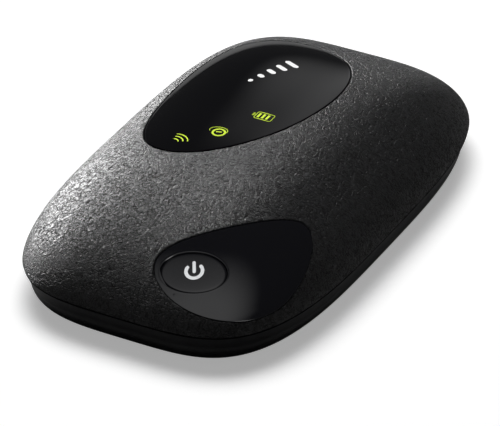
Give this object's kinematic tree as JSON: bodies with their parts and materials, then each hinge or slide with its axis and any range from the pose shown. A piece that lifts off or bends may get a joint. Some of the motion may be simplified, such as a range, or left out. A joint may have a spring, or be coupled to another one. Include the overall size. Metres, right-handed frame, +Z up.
{
  "type": "mobile hotspot",
  "caption": "Pocket mobile hotspot: grained crowned shell with two glossy leaf panels, power button, lift-off back cover, battery and SIM card.",
  "frame": {"origin": "middle of the back cover's flat underside", "axes": "+Z up out of the crowned top; +Y along the length, to the end with the charging socket; +X across the width"},
  "size_m": [0.0566, 0.0939, 0.0198],
  "materials": {
    "grained_shell": "moulded black plastic with a wrinkled, leather-like grain",
    "smooth_cover": "smooth satin black plastic",
    "gloss_panel": "polished black plastic, clear-coated",
    "case_plastic": "fine matt dark grey plastic",
    "black_moulding": "glass-filled black moulding",
    "circuit_board": "green solder mask over woven laminate",
    "amber_film": "amber flexible circuit film",
    "tinned_can": "tinned pressed sheet",
    "bright_steel": "bright plated steel",
    "gold_contact": "gold-plated contact",
    "chip_resin": "moulded chip resin",
    "led_lens": "clear moulded lamp",
    "printed_film": "black printed film",
    "soft_rubber": "soft black rubber",
    "battery_wrap": "dark grey wrapped cell",
    "sim_plastic": "white card"
  },
  "bodies": {
    "back_cover": {"back_cover": "smooth_cover"},
    "battery": {"battery": "battery_wrap", "battery_contact_1": "gold_contact", "battery_contact_2": "gold_contact", "battery_contact_3": "gold_contact"},
    "sim_card": {"sim_card": "sim_plastic"},
    "power_button": {"power_button": "gloss_panel", "power_plunger": "black_moulding"},
    "reset_button": {"reset_button": "black_moulding"},
    "housing": {"bottom_case": "case_plastic", "top_cover": "grained_shell", "display_lens": "gloss_panel", "button_panel": "gloss_panel", "power_switch": "bright_steel", "button_board": "circuit_board", "switch_ribbon": "amber_film", "main_board": "circuit_board", "modem_shield": "tinned_can", "wifi_shield": "tinned_can", "power_shield": "tinned_can", "modem_chip": "chip_resin", "wifi_chip": "chip_resin", "power_chip": "chip_resin", "memory_chip": "chip_resin", "usb_shell": "bright_steel", "usb_tongue": "black_moulding", "sim_shell": "bright_steel", "led_wifi": "led_lens", "led_internet": "led_lens", "led_battery": "led_lens", "led_shroud": "soft_rubber", "icon_film": "printed_film", "battery_connector": "black_moulding", "contact_spring_1": "gold_contact", "contact_spring_2": "gold_contact", "contact_spring_3": "gold_contact", "main_antenna": "amber_film", "diversity_antenna": "amber_film", "wifi_antenna": "amber_film", "reset_switch": "black_moulding", "case_screw_1": "bright_steel", "case_screw_2": "bright_steel", "case_screw_3": "bright_steel", "case_screw_4": "bright_steel"}
  },
  "joints": [
    {"name": "cover_release", "type": "slide", "parent": "back_cover", "child": "housing", "axis": [0, 0, 1], "range_m": [0, 0.045]},
    {"name": "battery_lift", "type": "slide", "parent": "housing", "child": "battery", "axis": [0, 0, -1], "range_m": [0, 0.0151]},
    {"name": "sim_slide", "type": "slide", "parent": "housing", "child": "sim_card", "axis": [0, -1, 0], "range_m": [0, 0.0171]},
    {"name": "power_press", "type": "slide", "parent": "housing", "child": "power_button", "axis": [-0.0713, 0.444, -0.8932], "range_m": [0, 0.0003], "stiffness_N_per_m": 4000},
    {"name": "reset_press", "type": "slide", "parent": "housing", "child": "reset_button", "axis": [0, 0, 1], "range_m": [0, 0.00025], "stiffness_N_per_m": 4000}
  ],
  "couplings": [
    {"joint": "battery_lift", "follows": "cover_release", "ratio": 0.3333},
    {"joint": "sim_slide", "follows": "cover_release", "ratio": 0.3777}
  ]
}
